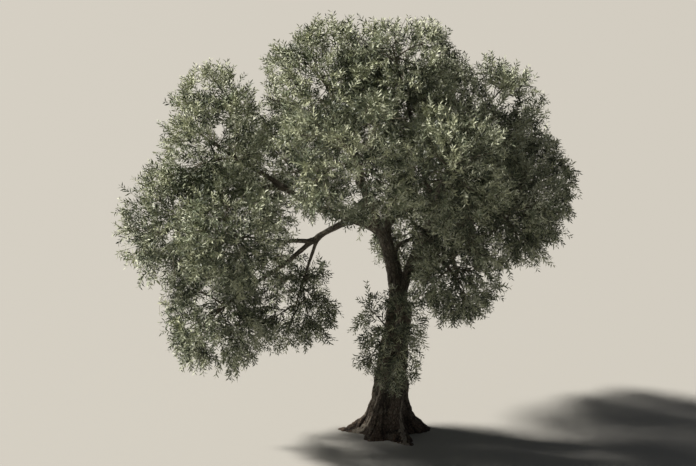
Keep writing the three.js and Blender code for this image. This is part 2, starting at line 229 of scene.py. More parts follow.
class Space:
    """The lump that a mass of foliage keeps to."""

    def __init__(self, row):
        self.centre = np.array(row.centre)
        self.size = np.array(row.size)
        self.breadth = self.size.mean()
        self.normals = np.empty((0, 3))
        self.edges = np.empty(0)

    def trim_by(self, other):
        normal = other.centre - self.centre
        reach = np.linalg.norm(normal) * self.breadth / (self.breadth + other.breadth) - SPACE_MARGIN
        normal = unit(normal)
        self.normals = np.vstack([self.normals, normal])
        self.edges = np.append(self.edges, normal @ self.centre + reach)

    def share_out(self, points):
        """How far out points lie: 0 at the middle of the lump and 1 at its skin."""
        return np.linalg.norm((points - self.centre) / self.size, axis=-1)

    def holds(self, points, share=1.0):
        return (self.share_out(points) <= share) & (points @ self.normals.T <= self.edges).all(axis=-1)

    def aimed(self, aims, reach):
        return self.centre + aims * self.size * reach


spaces = {row.name: Space(row) for row in GROWTH}
for space, other in itertools.permutations(spaces.values(), 2):
    space.trim_by(other)

shares = np.linspace(0, 1, ENTRY_STEPS + 1)[:-1]
for name, limb in limbs.items():
    outside = np.nonzero(~spaces[name].holds(limb.line(shares), ENTRY_SHARE))[0]
    first_inside = (outside[-1] + 1) / ENTRY_STEPS if len(outside) else 0
    limb.entry = max(first_inside, SHORTEST_BOUGH)
print("boughs end at", [round(limb.entry, 2) for limb in limbs.values()], "of their limbs")

# %% [markdown]
# The trunk's outline at any height is a circle with lobes added: five ribs that wind up it, a root flare
# and six surface roots that fade within a hand's breadth or two of the ground. An old olive also has burrs,
# which are rounded swellings, and flutes between its ribs. Both are too fine for the solid model, so they
# are added here.

# %% Outline of the trunk
BURRS = 16
BURR_SEED = 5
BURR_RANGES = ((-math.pi, math.pi), (0.25, 2.1), (0.012, 0.038), (0.07, 0.16))  # heading, height, swell, span
FLUTES = 9
FLUTE_DEPTH = 0.012
FLUTE_TWIST = 1.6  # flutes wind this much more than the ribs
FLUTE_WANDER = 1.5
FLUTE_WAVES = 3

burr_dice = np.random.default_rng(BURR_SEED)
burrs = [[burr_dice.uniform(*limits) for limits in BURR_RANGES] for _ in range(BURRS)]


def turned(angle):
    """An angle brought to within half a turn of zero."""
    return np.arctan2(np.sin(angle), np.cos(angle))


def trunk_radius(heading, height):
    up = np.maximum(height, 0)
    twist = RIB_TWIST * up / FORK_HEIGHT
    radius = blend(WAIST_RADIUS, FORK_RADIUS, up / FORK_HEIGHT) + FLARE * np.exp(-up / FLARE_FADE)
    radius = radius + RIB_DEPTH * np.cos(RIBS * (heading - twist))
    wander = FLUTE_WANDER * np.sin(FLUTE_WAVES * up)
    radius = radius - FLUTE_DEPTH * np.abs(np.cos(FLUTES / 2 * (heading - FLUTE_TWIST * twist) + wander))
    for direction, reach, width, fade in ROOTS:
        off = turned(heading - math.radians(direction)) / math.radians(width)
        radius = radius + reach * np.exp(-off * off) * np.exp(-up / fade)
    for direction, middle, swell, span in burrs:
        off = np.hypot(turned(heading - direction) * WAIST_RADIUS, up - middle) / span
        radius = radius + swell * np.exp(-off * off)
    over = np.clip((up - CROTCH_HEIGHT) / (FORK_HEIGHT - CROTCH_HEIGHT), 0, 1)
    return radius * np.sqrt(1 - ROUND_OFF * over * over)


print("trunk at 1 m:", round(float(trunk_radius(0.0, 1.0)), 2), "m from its middle to its right side")

# %% [markdown]
# Trunk and boughs are one living piece of wood, with webs in the forks and a collar where each limb leaves
# its parent. Separate tubes would show a hard line there. So each limb is a cylinder bent along its curve,
# and a voxel remesh melts them all into one skin. The voxels are small enough to keep the ribs, and limbs
# thinner than three voxels are left to the twigs.

# %% Wood as one mesh
WOOD_VOXEL = 0.011
TRUNK_SIDES = 72
TRUNK_RINGS = 120
BELOW_GROUND = 0.06
LIMB_SIDES = 16
LIMB_RINGS = 70
BARK_END_RADIUS = 0.017
COLLAR = 0.5
COLLAR_FADE = 1.4


def in_scene(name, data):
    made = bpy.data.objects.new(name, data)
    bpy.context.scene.collection.objects.link(made)
    return made


def mesh_from(shape, name):
    mesh = bpy.data.meshes.new(name)
    shape.to_mesh(mesh)
    shape.free()
    return mesh


def settled(piece):
    """Makes what a piece's modifiers show its mesh, and takes the modifiers off."""
    mesh = bpy.data.meshes.new_from_object(piece.evaluated_get(bpy.context.evaluated_depsgraph_get()))
    piece.modifiers.clear()
    piece.data = mesh
    return mesh


def values_of(parts, name, width=3, kind=np.float32):
    """One value of all the points or edges of a mesh, as rows."""
    values = np.empty(len(parts) * width, kind)
    parts.foreach_get(name, values)
    return values.reshape(-1, width)


def bent_rod(sides, rings, place):
    """A bent closed cylinder: place turns a unit circle's x and y and a share of the height into points."""
    shape = bmesh.new()
    bmesh.ops.create_cone(shape, cap_ends=True, cap_tris=True, segments=sides, radius1=1, radius2=1, depth=1)
    uprights = [edge for edge in shape.edges if abs(edge.verts[0].co.z - edge.verts[1].co.z) > 0.5]
    bmesh.ops.subdivide_edges(shape, edges=uprights, cuts=rings - 1, use_grid_fill=True)
    bmesh.ops.translate(shape, verts=shape.verts, vec=(0, 0, 0.5))
    mesh = mesh_from(shape, "rod")
    points = values_of(mesh.vertices, "co").astype(float)
    mesh.vertices.foreach_set("co", place(*points.T).astype(np.float32).ravel())
    return mesh


def tangents_along(points):
    """Directions along rows of points; the last axis but one runs along a row."""
    return unit(np.gradient(points, axis=-2))


def trunk_place(x, y, share):
    height = -BELOW_GROUND + (FORK_HEIGHT + BELOW_GROUND) * share
    radius = trunk_radius(np.arctan2(y, x), height)
    off = np.stack([x * radius, y * radius, np.zeros_like(radius)], axis=-1)
    return trunk_centre(height) + off


def limb_place(limb):
    end = limb.share_at(BARK_END_RADIUS)

    def place(x, y, share):
        along = share * end
        centre = limb.line(along)
        tangent = unit(limb.line(along + NUDGE) - limb.line(along - NUDGE))
        right = unit(limb.across - (tangent @ limb.across)[:, None] * tangent)
        up = np.cross(tangent, right)
        distance = np.linalg.norm(centre - limb.root, axis=-1)
        collar = 1 + COLLAR * np.exp(-((distance / (COLLAR_FADE * limb.parent_radius)) ** 2))
        radius = (limb.radius(along) * collar)[:, None]
        return centre + radius * (x[:, None] * right + y[:, None] * up)

    return place


boughs = {name: limb for name, limb in limbs.items() if name != "trunk_shoots"}
wood = bmesh.new()
wood.from_mesh(bent_rod(TRUNK_SIDES, TRUNK_RINGS, trunk_place))
for limb in boughs.values():
    wood.from_mesh(bent_rod(LIMB_SIDES, LIMB_RINGS, limb_place(limb)))
bmesh.ops.recalc_face_normals(wood, faces=wood.faces)
bark = in_scene("bark", mesh_from(wood, "rods"))
melt = bark.modifiers.new("melt", "REMESH")
melt.mode = "VOXEL"
melt.voxel_size = WOOD_VOXEL
melted = settled(bark)
print("wood:", len(melted.polygons), "faces")

# %% [markdown]
# Olive bark is cracked into small plates, longer than they are wide, between furrows that follow the grain:
# up the boughs, round the ribs and out along the roots. All of that is real relief here, because the
# outline of an old trunk shows it. Each point looks up how far along the nearest limb it lies and on which
# side, and the pattern is laid round that limb and stretched along it.

# %% Where each point lies on its limb
AXIS_STEP = 0.02
GRAIN_STRETCH = 3.6
FURROW_STRETCH = 2.2  # furrows and streaks are longer than plates
FLARE_STRETCH = 2.2  # of the pattern across the flare
PATTERN_SHIFT = 7.0  # from one limb's part of the pattern to the next one's
LEAST = 0.001  # keeps a divisor off zero


def axis_of(points, across, radii, number):
    """The middle line of a limb, with a frame at each point and the distance along the limb."""
    tangents = tangents_along(points)
    rights = unit(across - (tangents @ across)[:, None] * tangents)
    distances = np.append(0, np.cumsum(np.linalg.norm(np.diff(points, axis=0), axis=1)))
    return points, tangents, rights, radii, distances, np.full(len(points), PATTERN_SHIFT * number)


heights = np.arange(-BELOW_GROUND, FORK_HEIGHT, AXIS_STEP)
girths = blend(WAIST_RADIUS, FORK_RADIUS, heights / FORK_HEIGHT)
axes = [axis_of(trunk_centre(heights), np.array([1.0, 0, 0]), girths, 0)]
for number, (limb, length) in enumerate(zip(boughs.values(), lengths), 1):
    shares = np.linspace(0, limb.share_at(BARK_END_RADIUS), round(length / AXIS_STEP))
    axes.append(axis_of(limb.line(shares), limb.across, limb.radius(shares), number))
axis = [np.concatenate(parts) for parts in zip(*axes)]
middles = kdtree.KDTree(len(axis[0]))
for index, point in enumerate(axis[0]):
    middles.insert(point, index)
middles.balance()

surface = values_of(melted.vertices, "co").astype(float)
nearest = np.array([middles.find(point)[1] for point in surface])
limb_at, way, right, thickness, distance, shift = (values[nearest] for values in axis)
off = surface - limb_at
along = (off * way).sum(axis=1)
side = (off * right).sum(axis=1)
rise = (off * np.cross(way, right)).sum(axis=1)
reach = np.maximum(np.hypot(side, rise), LEAST)
length_on = distance + along - (reach - thickness)
patterned = blend(thickness, reach, 1 / FLARE_STRETCH)
around = [side * patterned / reach, rise * patterned / reach]
grain = np.stack([*around, length_on / GRAIN_STRETCH + shift], axis=1)
trunk_share = np.clip(thickness / FORK_RADIUS, 0, 1)
furrow_places = grain / (1, 1, FURROW_STRETCH)
print("wood reaches", round(reach.max(), 2), "m from the middle of its limbs")

# %% [markdown]
# Where the bark of an old olive has died back, bare wood runs up the flare in ragged streaks, weathered to
# a silver grey. The streaks come first, because plates and furrows stop at their edges and the wood lies a
# little deeper there.

# %% Streaks of bare wood
# Compass heading at the ground in degrees, lowest and highest point, and half width.
STREAKS = [(-66, -0.1, 0.6, 0.042), (-166, -0.1, 0.95, 0.045), (75, -0.1, 1.15, 0.05)]
RAG_SIZE = 0.022
RAG_DEPTH = 0.8
STREAK_LEVEL = 0.55
STREAK_EDGE = 0.25
STREAK_LIMIT = 0.15  # ragged edges end where the streak has faded to this


def noise_at(places, size):
    """Smooth noise from about -1 to 1, with lumps of a size."""
    return np.array([noise.noise(Vector(place)) for place in places / size])


foot = trunk_centre(surface[:, 2])
heading = np.arctan2(surface[:, 1] - foot[:, 1], surface[:, 0] - foot[:, 0])
bare = np.zeros(len(surface))
for direction, low, high, half_width in STREAKS:
    way = math.radians(direction) + RIB_TWIST * surface[:, 2] / FORK_HEIGHT
    share = np.clip((surface[:, 2] - low) / (high - low), 0, 1)
    tapered = half_width * np.sqrt(4 * share * (1 - share)) + LEAST
    off = turned(heading - way) * WAIST_RADIUS / tapered
    bare = np.maximum(bare, np.exp(-off * off))
ragged = bare + RAG_DEPTH * noise_at(furrow_places, RAG_SIZE)
bare = np.clip((ragged - STREAK_LEVEL) / STREAK_EDGE, 0, 1) * (bare > STREAK_LIMIT)
print("bare wood:", round(100 * bare.mean(), 1), "% of the points")

# %% [markdown]
# Relief has three scales: lumps as wide as a hand, furrows that part and meet again, and plates between
# fine cracks. The depth of the cracks and furrows is kept on the mesh as an attribute, so that the colour
# can be dark in them, partly for damp and partly as painted shade in the hollows. Thin boughs have hardly
# any. Two limbs' patterns don't match where they meet, so plates and furrows fade out towards that seam,
# and the lumps run on through it.

# %% Relief of the bark
PLATE_WIDTH = 0.04
PLATE_DEPTH = 0.0065
CRACK_WIDTH = 0.2
PLATE_WARP = 0.6
WARP_SCALE = 0.7
WARP_SEED = 5
PLATE_SHADE = 0.7
FURROW_SPACING = 0.1
FURROW_DEPTH = 0.026
FURROW_WIDTH = 0.3
FURROW_SLOPE = 1.5
FURROW_SHADE = 0.8
LUMP_SIZE = 0.16
LUMP_HEIGHT = 0.018
LUMP_SHARE = 0.09  # lumps are no higher than this share of a limb's radius
LUMP_OCTAVES = (0.9, 2.0, 3)  # their fall in height, rise in fineness and number
STREAK_DEPTH = 0.006
SEAM_RINGS = 7  # the relief fades over this many rings of points
SOIL_HEIGHT = 0.3


def plate_height(place):
    """From -1 in the middle of a crack to 0 on a plate."""
    near = noise.voronoi(place + PLATE_WARP * noise.noise_vector(place * WARP_SCALE))[0]
    return -max(0.0, 1 - (near[1] - near[0]) / CRACK_WIDTH)


tail, head = values_of(melted.edges, "vertices", 2, np.int32).T
on_seam = shift[tail] != shift[head]
off_seam = np.ones(len(surface))
off_seam[tail[on_seam]] = off_seam[head[on_seam]] = 0
for _ in range(SEAM_RINGS):
    spread = np.minimum(off_seam[tail], off_seam[head]) + 1 / SEAM_RINGS
    np.minimum.at(off_seam, tail, spread)
    np.minimum.at(off_seam, head, spread)

noise.seed_set(WARP_SEED)  # without it, noise_vector is seeded by the clock
plates = np.array([plate_height(Vector(place)) for place in grain / PLATE_WIDTH])
furrow_lines = np.abs(noise_at(furrow_places, FURROW_SPACING)) / FURROW_WIDTH
furrows = -np.clip(1 - furrow_lines, 0, 1) ** FURROW_SLOPE
lumps = np.array([noise.fractal(Vector(place), *LUMP_OCTAVES) for place in surface / LUMP_SIZE])
barked = trunk_share * (1 - bare) * off_seam
relief = barked * (PLATE_DEPTH * plates + FURROW_DEPTH * furrows) - STREAK_DEPTH * bare
relief += np.minimum(LUMP_HEIGHT, LUMP_SHARE * thickness) * lumps
surface = surface + values_of(melted.vertices, "normal") * relief[:, None]
melted.vertices.foreach_set("co", surface.astype(np.float32).ravel())
# painted shade and damp: how dark the colour gets in cracks and furrows, by their depth
dark = -PLATE_SHADE * plates - FURROW_SHADE * furrows * trunk_share
marks = {
    "crack": np.clip(dark, 0, 1) * (1 - bare) * off_seam,
    "young": 1 - trunk_share,
    "soil": np.exp(-np.maximum(surface[:, 2], 0) / SOIL_HEIGHT),
    "bare": bare,
}
for name, values in marks.items():
    melted.attributes.new(name, "FLOAT", "POINT").data.foreach_set("value", values.astype(np.float32))
grain_mark = melted.attributes.new("grain", "FLOAT_VECTOR", "POINT")
grain_mark.data.foreach_set("vector", grain.astype(np.float32).ravel())
print("bark relief:", round(1000 * relief.min()), "to", round(1000 * relief.max()), "mm")

# %% [markdown]
# Most of the faces now lie on the boughs, where hardly any relief needs them. A decimation that works on
# the young wood alone takes them off again. Then the foot is cut flat at ground level: a bisecting plane
# takes off the wood below, and the open rim is filled.

# %% Fewer faces on the boughs, and the foot
KEPT_FACES = 0.5

young_group = bark.vertex_groups.new(name="young")
for index, share in enumerate(marks["young"]):
    young_group.add([index], float(share), "REPLACE")
thinning = bark.modifiers.new("thinning", "DECIMATE")
thinning.ratio = KEPT_FACES
thinning.vertex_group = young_group.name
thinned = settled(bark)
bark.vertex_groups.clear()

shape = bmesh.new()
shape.from_mesh(thinned)
whole = [*shape.verts, *shape.edges, *shape.faces]
cut = bmesh.ops.bisect_plane(shape, geom=whole, plane_co=(0, 0, 0), plane_no=(0, 0, -1), clear_outer=True)
rim = [part for part in cut["geom_cut"] if isinstance(part, bmesh.types.BMEdge)]
base = bmesh.ops.triangle_fill(shape, edges=rim, use_beauty=True, normal=(0, 0, -1))
on_ground = {part for part in base["geom"] if isinstance(part, bmesh.types.BMFace)}
for face in shape.faces:
    face.smooth = face not in on_ground
bmesh.ops.recalc_face_normals(shape, faces=shape.faces)
open_edges = sum(not edge.is_manifold for edge in shape.edges)
triangles = sum(len(face.verts) - 2 for face in shape.faces)
shape.to_mesh(thinned)
shape.free()
print("wood:", triangles, "triangles,", open_edges, "open edges,", len(rim), "edges round the cut")


# %% [markdown]
# One helper turns an sRGB hex colour into the linear numbers that shaders take, and one adds a node
# with its settings and links.

# %% Helpers for materials
def linear(hex_colour):
    parts = [int(hex_colour[start:start + 2], 16) / 255 for start in (1, 3, 5)]
    return [*(part / 12.92 if part <= 0.04045 else ((part + 0.055) / 1.055) ** 2.4 for part in parts), 1.0]


def add_node(material, kind, inputs=(), **settings):
    """Adds a node. Each input is set to its value, or linked where the value is another node's output."""
    made = material.node_tree.nodes.new("ShaderNode" + kind)
    for name, value in settings.items():
        setattr(made, name, value)
    for socket, value in dict(inputs).items():
        if isinstance(value, bpy.types.NodeSocket):
            material.node_tree.links.new(value, made.inputs[socket])
        else:
            made.inputs[socket].default_value = value
    return made


def new_material(name, **values):
    """A material and its Principled shader, whose own sockets hold what is the same all over."""
    material = bpy.data.materials.new(name)
    material.use_nodes = True
    shader = material.node_tree.nodes["Principled BSDF"]
    for socket, value in values.items():
        shader.inputs[socket.replace("_", " ")].default_value = value
    return material, shader


# %% [markdown]
# Bark is dead cork over wood: quite matt, grey-brown where it is weathered, near black in the cracks, from
# damp and from painted shade, and greyer on young boughs. Splashed soil turns it reddish brown at the foot,
# pale lichen grows on it in patches, and the dead streaks are silver grey. Each of these is one layer, mixed
# over the last by the attributes kept above or by a noise of the right size. The fine cracks, too small to
# model, run along the grain because they read the stretched grain attribute, and are darkened the same way.

# %% Olive bark
FINE_PLATE = 0.024
CRACK_WANDER = 0.014
FIBRE = 0.005
LICHEN_PATCH = 0.11
CORK_PATCH = 0.05
FINE_BUMP = 0.004
CRACK_BUMP = 1.6  # how much deeper cracks are than fibres
BUMP_STRENGTH = 0.8

olive_bark, shader = new_material("olive_bark", IOR=1.5)
bark_node = functools.partial(add_node, olive_bark)


def read_mark(name, output="Fac"):
    return bark_node("Attribute", attribute_name=name).outputs[output]


def patches(size, low, high, detail=4.0):
    """Soft patches of a real size, in metres: 0 between them and 1 on them."""
    place = bark_node("TexCoord").outputs["Object"]
    cloud = bark_node("TexNoise", {"Vector": place, "Scale": 1 / size, "Detail": detail})
    return ranged(cloud.outputs["Fac"], low, high)


def ranged(value, low, high, start=0.0, end=1.0):
    steps = {"Value": value, "From Min": low, "From Max": high, "To Min": start, "To Max": end}
    return bark_node("MapRange", steps).outputs["Result"]


def product(first, second):
    return bark_node("Math", {0: first, 1: second}, operation="MULTIPLY").outputs[0]


def layer(under, over, share):
    """One colour laid over another; share is how much of the upper one shows."""
    over = linear(over) if isinstance(over, str) else over
    under = linear(under) if isinstance(under, str) else under
    inputs = {"Factor": share, "A": under, "B": over}
    return bark_node("Mix", inputs, data_type="RGBA").outputs["Result"]


grain_place = read_mark("grain", "Vector")
wander = bark_node("TexNoise", {"Vector": grain_place, "Scale": 1 / CRACK_WANDER, "Detail": 4.0})
shift = {0: wander.outputs["Color"], 1: (CRACK_WANDER, CRACK_WANDER, CRACK_WANDER), 2: grain_place}
ragged_place = bark_node("VectorMath", shift, operation="MULTIPLY_ADD").outputs[0]
plate_pattern = {"Vector": ragged_place, "Scale": 1 / FINE_PLATE}
to_edge = bark_node("TexVoronoi", plate_pattern, feature="DISTANCE_TO_EDGE").outputs["Distance"]
barked = ranged(read_mark("bare"), 0.1, 0.5, 1.0, 0.0)
fine_cracks = product(ranged(to_edge, 0.0, 0.2, 1.0, 0.0), barked)
fibre_pattern = {"Vector": grain_place, "Scale": 1 / FIBRE, "Detail": 3.0}
fibres = bark_node("TexNoise", fibre_pattern).outputs["Fac"]

colour = layer("#574e44", "#877e70", patches(CORK_PATCH, 0.38, 0.62))
colour = layer(colour, "#6f6c61", product(read_mark("young"), patches(LICHEN_PATCH, 0.2, 0.7)))
colour = layer(colour, "#5a3f30", product(read_mark("soil"), patches(CORK_PATCH, 0.3, 0.6)))
colour = layer(colour, "#8d8b7d", product(patches(LICHEN_PATCH, 0.52, 0.68, 8.0), 0.55))
# painted shade and damp: the fine cracks and the modelled cracks and furrows are darkened
colour = layer(colour, "#2a231d", product(fine_cracks, patches(CORK_PATCH, 0.25, 0.6, 6.0)))
colour = layer(colour, "#1c1713", ranged(read_mark("crack"), 0.15, 1.0, 0.0, 0.85))
bare_wood = layer("#665e53", "#a09789", ranged(fibres, 0.4, 0.6))
colour = layer(colour, bare_wood, ranged(read_mark("bare"), 0.35, 0.75))

heights = {0: fibres, 1: product(fine_cracks, CRACK_BUMP)}
height = bark_node("Math", heights, operation="SUBTRACT").outputs[0]
bump = bark_node("Bump", {"Height": height, "Distance": FINE_BUMP, "Strength": BUMP_STRENGTH})
links = olive_bark.node_tree.links
links.new(colour, shader.inputs["Base Color"])
links.new(bump.outputs["Normal"], shader.inputs["Normal"])
links.new(ranged(read_mark("bare"), 0.2, 0.8, 0.92, 0.72), shader.inputs["Roughness"])

thinned.materials.clear()
thinned.materials.append(olive_bark)
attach(bark, "root")
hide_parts("trunk", *("bough_" + name for name in boughs))
print("bark: replaces", 1 + len(boughs), "solids")

# %% [markdown]
# An olive leaf is narrow and leathery. Its upper side is waxy and grey-green, and its underside is covered
# with tiny silver scales, which is why a grove flashes pale in the wind. The two sides are two plain
# materials on one closed blade. Leaves that grow in shade are darker, and their scales are so sparse that
# the green shows through; here the deep green and its sparse-scaled underside also serve as painted shade.
# A pattern on so many tiny blades would be lost, so their colours stay plain.

# %% Leaves and twigs
# The deep green and the sparse-scaled underside are darker shade leaves, and painted shade where they are
# dealt out below.
UPPER_COLOURS = {"sage": "#979c80", "grey_green": "#778069", "deep_green": "#3f4738", "young": "#a7ab8d"}
DEEP_GREEN = 2  # its place among these
UNDER_COLOURS = {"silver_scales": "#b9bda8", "sparse_scales": "#80866f"}


def plain(name, colour, roughness, refraction):
    return new_material(name, Base_Color=linear(colour), Roughness=roughness, IOR=refraction)[0]


upper_sides = [plain("leaf_upper_" + name, colour, 0.5, 1.45) for name, colour in UPPER_COLOURS.items()]
under_sides = [plain("leaf_under_" + name, colour, 0.7, 1.45) for name, colour in UNDER_COLOURS.items()]
leaf_materials = upper_sides + under_sides
twig_bark = plain("twig_bark_grey", "#5f594c", 0.85, 1.5)
shoot_bark = plain("shoot_bark_grey_green", "#83836c", 0.7, 1.5)
print(len(leaf_materials), "leaf materials")

# %% [markdown]
# The first two steps of the crown follow the solid model's rule exactly, so that the fine crown grows where
# the solids are. Six twigs leave each stem for tips spread evenly round the mass. Some twenty tips on its
# skin are then each reached from the free seat, on the stem or a twig, that points most nearly at it. A
# stretch that would leave its mass or come too near a limb is left out or cut shorter.

# %% Twigs and sprays
FIRST_SEED = 101
SEED_STEP = 17
GOLDEN_ANGLE = math.pi * (3 - math.sqrt(5))
TWIGS = 6
TWIG_ROOTS = (0.3, 0.85)
TWIG_REACH = 0.6
TWIG_LIFT = 0.14
TWIG_ROOT_RADIUS = 0.015
SPRAYS_A_METRE = 22
SPRAY_REACH = 0.97
LONGEST_SPRAY = 0.8
SPRAY_ASPECT = 0.4
SPRAY_SPREAD = 0.55
SPRAY_BEND = 0.6
SPRAY_SEATS = np.array([0.45, 0.56, 0.67, 0.78, 0.89, 1.0])
SPRAY_CUTS = (1, 0.86, 0.72, 0.58)
PROBES = np.arange(1, 9) / 8

levels = np.linspace(0, FORK_HEIGHT, TRUNK_STEPS + 1)
lines = [trunk_centre(levels)]
widths = [trunk_radius(np.zeros(TRUNK_STEPS), levels[:-1])]
for limb in boughs.values():
    shares = np.linspace(0, limb.entry, LIMB_STEPS + 1)
    lines.append(limb.line(shares))
    widths.append(limb.radius(shares[:-1]))
starts = np.concatenate([line[:-1] for line in lines])
ends = np.concatenate([line[1:] for line in lines])
widths = np.concatenate(widths)


def near_limbs(points, half_width):
    """Which points come too near a limb, each with a half width of its own."""
    run = ends - starts
    share = ((points[:, None] - starts) * run).sum(-1) / (run * run).sum(-1)
    closest = starts + np.clip(share, 0, 1)[..., None] * run
    apart = np.linalg.norm(points[:, None] - closest, axis=-1)
    return (apart < widths + np.reshape(half_width, (-1, 1)) + LIMB_CLEARANCE).any(axis=1)


def even_aims(count, turn):
    """Directions spread evenly all round."""
    number = np.arange(count)
    height = 1 - 2 * (number + 0.5) / count
    ring = np.sqrt(1 - height * height)
    angle = turn + number * GOLDEN_ANGLE
    return np.stack([ring * np.cos(angle), ring * np.sin(angle), height], axis=1)


def points_on(curves, shares):
    """Points on curves, each of which is its root, bow and tip."""
    return bowed(curves[:, None, 0], curves[:, None, 1], curves[:, None, 2], shares)


def ways_on(curves, shares):
    """The directions of curves at shares of the way along them."""
    along = np.reshape(shares, (-1, 1))
    legs = np.diff(curves, axis=1)
    return unit((1 - along) * legs[:, None, 0] + along * legs[:, None, 1])


def turned_round(ways, helper, turn):
    """Directions square to ways, turned round them from any helper."""
    side = unit(np.cross(ways, unit(np.array(helper))))
    turn = turn[..., None]
    return np.cos(turn) * side + np.sin(turn) * np.cross(ways, side)


def twigs_of(limb, space, dice):
    kept = []
    for aim in even_aims(TWIGS, next(dice) * FULL_TURN):
        tip = space.aimed(aim, TWIG_REACH)
        root = limb.line(blend(limb.entry, 1, blend(*TWIG_ROOTS, next(dice))))
        bow = (root + tip) / 2
        bow[2] += TWIG_LIFT * np.linalg.norm(tip - root)
        points = bowed(root, bow, tip, np.append(0, PROBES))
        if space.holds(points).all() and not near_limbs(points[1:], TWIG_ROOT_RADIUS).any():
            kept.append((root, bow, tip))
    return np.array(kept).reshape(-1, 3, 3)


def spray_to(tip, seat, way, space):
    """A side twig from a seat towards a tip, cut shorter until it fits, or none."""
    whole = tip - seat
    direction = unit(whole)
    for cut in SPRAY_CUTS:
        length = min(np.linalg.norm(whole), LONGEST_SPRAY) * cut
        midrib = seat + direction * length * PROBES[:, None]
        half_width = SPRAY_ASPECT * length * (0.5 - np.abs(PROBES - 0.5))
        if space.holds(midrib[-1]) and not near_limbs(midrib, half_width).any():
            bow = seat + 0.5 * length * unit(direction + SPRAY_BEND * way)
            return [(seat, bow, midrib[-1])]
    return []


def sprays_of(limb, space, twigs, dice):
    shares = blend(limb.entry, 1, SPRAY_SEATS)
    seats = np.concatenate([limb.line(shares), points_on(twigs, SPRAY_SEATS).reshape(-1, 3)])
    stem_ways = unit(limb.line(shares) - limb.line(shares - NUDGE))
    ways = np.concatenate([stem_ways, ways_on(twigs, SPRAY_SEATS).reshape(-1, 3)])
    taken = np.zeros(len(seats))
    grown = []
    for aim in even_aims(round(SPRAYS_A_METRE * space.breadth), next(dice) * FULL_TURN):
        tip = space.aimed(aim, SPRAY_REACH)
        reach = tip - seats
        length = np.linalg.norm(reach, axis=1)
        angle = np.arccos(np.clip((reach * ways).sum(axis=1) / length, -1, 1))
        best = np.argmin(np.abs(angle - SPRAY_SPREAD) + length / LONGEST_SPRAY + taken)
        taken[best] = np.inf
        grown += spray_to(tip, seats[best], ways[best], space)
    return np.array(grown).reshape(-1, 3, 3)


twigs, sprays = {}, {}
for number, (name, limb) in enumerate(limbs.items()):
    dice = seeded(FIRST_SEED + SEED_STEP * number)
    twigs[name] = twigs_of(limb, spaces[name], dice)
    sprays[name] = sprays_of(limb, spaces[name], twigs[name], dice)
print(sum(map(len, twigs.values())), "twigs and", sum(map(len, sprays.values())), "sprays")

# %% [markdown]
# From here the solid model stops and the fine crown goes on by the same rule. Eighteen separate lumps would
# look like eighteen balls, so they are softly fused where they meet, and their common skin is made uneven
# with noise. Clumps of leaves about half a metre wide then stand out between dark hollows.

# %% Skin of the crown
FUSION = 7.0  # lower fuses neighbouring masses over a wider gap
CLUMP = np.array([0.42, 0.42, 0.7])
CLUMP_DEPTH = 0.5
SKIN = 0.98
FURTHEST = 1.3  # no mass reaches past this share of its own lump
BEYOND_SOLIDS = 0.075  # how far shoots may reach past the solid model's box


def crown_share(points):
    """How far out points lie in the whole crown: 1 at the skin of a lone mass, and less where masses meet."""
    shares = np.stack([space.share_out(points) for space in spaces.values()])
    return -np.log(np.exp(-FUSION * shares).sum(axis=0)) / FUSION


def within(points, space):
    """Which points lie under the uneven skin: it stands out at the clumps and dips in the hollows."""
    skin = SKIN + CLUMP_DEPTH * noise_at(points, CLUMP)
    return space.holds(points, FURTHEST) & (crown_share(points) <= skin)


def in_reach(points):
    low, high = np.array(cad_box[0]) - BEYOND_SOLIDS, np.array(cad_box[1]) + BEYOND_SOLIDS
    return ((points > low) & (points < high)).all(axis=1)


stem_tips = np.array([limb.tip for limb in limbs.values()])
print("stems end at most", round(crown_share(stem_tips).max(), 2), "of the way out")

# %% [markdown]
# Twiglets reach for many more even aims, most near the skin and some inside, and each grows from the seat
# that suits it best. Shoots then leave every twiglet in a spiral, as buds do. High in the crown they turn
# up to the light, and low down they arch over and hang, as an olive's fruiting wood does.

# %% Twiglets and shoots
TWIGLETS_A_METRE = 165
VEIL = {"trunk_shoots": 0.5, "left_hanging": 0.6}  # thin veils have this share of the twiglets
TWIGLET_SEATS = np.array([0.3, 0.45, 0.6, 0.75, 0.9, 1.0])
TWIGLET_SPREAD = 0.6
TWIGLET_BEND = 0.7
TWIGLET_ARCH = 0.5  # how much of a shoot's hang a twiglet's first half rises by
TWIGLET_REACH = 0.45
LONGEST_TWIGLET = 0.55
SEAT_SHARING = 0.35  # what each twiglet adds to the cost of its seat
TRIED_REACHES = np.arange(1.2, 0.5, -0.05)
SKIN_TWIGLETS = (0.84, 1.0)
INNER_TWIGLETS = (0.5, 0.8)
INNER_SHARE = 0.26
SHOOT_SEATS = np.array([0.25, 0.45, 0.62, 0.78, 0.9, 1.0])
SHOOT_ANGLE = math.radians(46)
ANGLE_RANGE = (0.7, 1.2)
SHOOT_LENGTHS = (0.17, 0.3)
SHOOT_LIFT = 0.9
BOW_OUTWARD = 0.2  # how far shoots lean away from their mass's middle
TIP_OUTWARD = 0.25
SHOOT_HELPER = (0.3, 0.2, 1.0)
FRINGE = 0.55  # a shoot stays as long as this share of it lies under the skin
LIFTS = ((1.4, 3.0, 5.6), (-1.6, -0.5, 0.9))  # how far shoots turn up, by height: below 0 they hang
UP = np.array([0, 0, 1.0])
CROWN_SEED = 7

chance = np.random.default_rng(CROWN_SEED)


def lift_at(points):
    return np.interp(points[..., 2], *LIFTS)[..., None] * UP


def tips_of(space, aims):
    """The furthest place along each aim that the mass may grow to, or nothing where there is none."""
    tips = space.aimed(aims[:, None], TRIED_REACHES[:, None])
    fits = space.holds(tips, FURTHEST) & (crown_share(tips) <= SKIN)
    best = tips[np.arange(len(aims)), fits.argmax(axis=1)]
    return best[fits.any(axis=1)]


